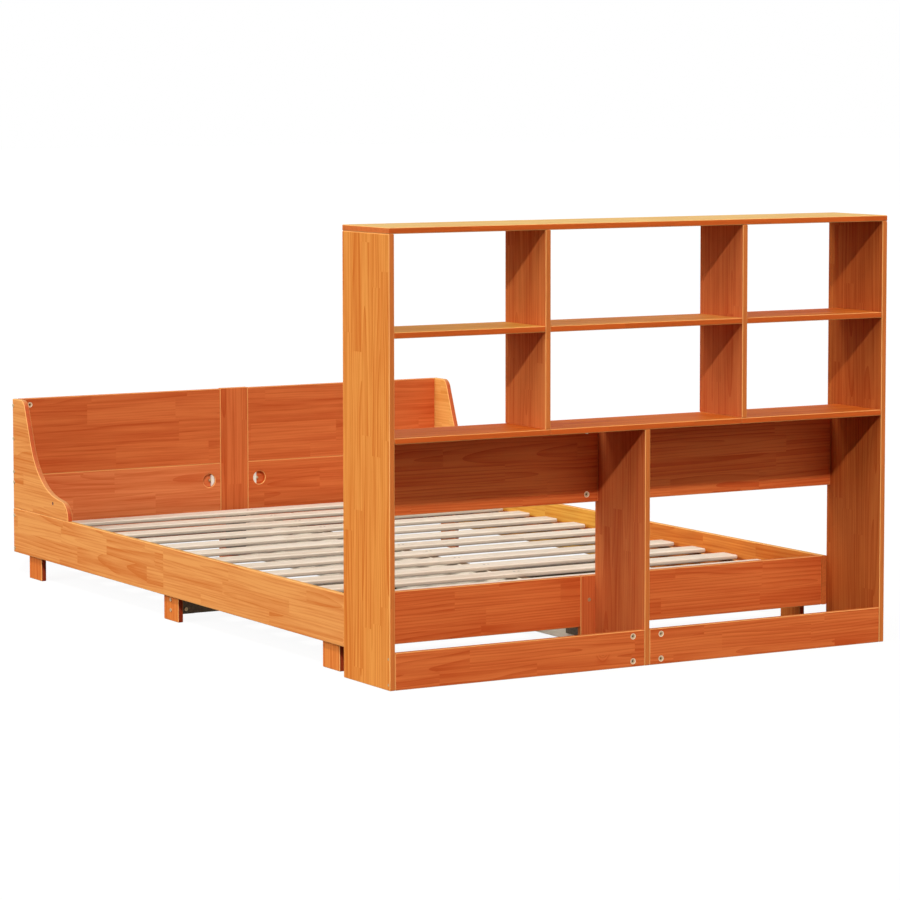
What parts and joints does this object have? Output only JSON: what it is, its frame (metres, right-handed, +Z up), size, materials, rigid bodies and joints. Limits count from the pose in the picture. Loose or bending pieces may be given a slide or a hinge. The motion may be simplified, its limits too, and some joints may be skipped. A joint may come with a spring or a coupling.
{
  "type": "bed frame",
  "caption": "Solid-pine double bed frame with a slatted base, a winged headboard and an open bookcase across the other end.",
  "frame": {"origin": "on the floor under the middle of the whole frame, halfway between the bookcase's front and the headboard's back and halfway across its width", "axes": "+X across the bed to the right seen from the bookcase's front, +Y along the bed from the bookcase to the headboard, +Z up"},
  "size_m": [1.46, 2.28, 1.1],
  "materials": {
    "stained_pine": "orange-brown stained finger-jointed pine under a satin lacquer",
    "bare_pine": "planed pine without stain",
    "dark_steel": "dark grey-brown coated steel sheet and tube",
    "zinc": "zinc-plated steel",
    "beech": "plain ribbed dowel wood"
  },
  "bodies": {
    "root": {"bookcase_side_left": "stained_pine", "bookcase_side_right": "stained_pine", "bookcase_top_left": "stained_pine", "bookcase_top_right": "stained_pine", "bookcase_divider_left": "stained_pine", "bookcase_divider_right": "stained_pine", "bookcase_shelf_left": "stained_pine", "bookcase_shelf_centre": "stained_pine", "bookcase_shelf_right": "stained_pine", "bookcase_deck_left": "stained_pine", "bookcase_deck_centre": "stained_pine", "bookcase_deck_right": "stained_pine", "bookcase_upright": "stained_pine", "bookcase_kick_left": "stained_pine", "bookcase_kick_right": "stained_pine", "bookcase_back_left": "stained_pine", "bookcase_back_right": "stained_pine", "side_rail_left_foot": "stained_pine", "side_rail_left_head": "stained_pine", "side_rail_right_foot": "stained_pine", "side_rail_right_head": "stained_pine", "foot_rail_left": "stained_pine", "foot_rail_right": "stained_pine", "foot_post": "stained_pine", "head_post": "stained_pine", "headboard_lower_left": "stained_pine", "headboard_lower_right": "stained_pine", "headboard_upper_left": "stained_pine", "headboard_upper_right": "stained_pine", "wing_left": "stained_pine", "wing_right": "stained_pine", "leg_left_foot": "stained_pine", "leg_left_middle": "stained_pine", "leg_left_head": "stained_pine", "leg_right_foot": "stained_pine", "leg_right_middle": "stained_pine", "leg_right_head": "stained_pine", "ledge_left": "stained_pine", "ledge_right": "stained_pine", "beam_foot": "bare_pine", "beam_head": "bare_pine", "cross_bar": "dark_steel", "steel_brackets": "dark_steel", "slat_01": "bare_pine", "slat_02": "bare_pine", "slat_03": "bare_pine", "slat_04": "bare_pine", "slat_05": "bare_pine", "slat_06": "bare_pine", "slat_07": "bare_pine", "slat_08": "bare_pine", "slat_09": "bare_pine", "slat_10": "bare_pine", "slat_11": "bare_pine", "slat_12": "bare_pine", "slat_13": "bare_pine", "cam_locks": "zinc", "bolts": "zinc", "wood_screws": "zinc", "dowels": "beech"}
  },
  "joints": []
}
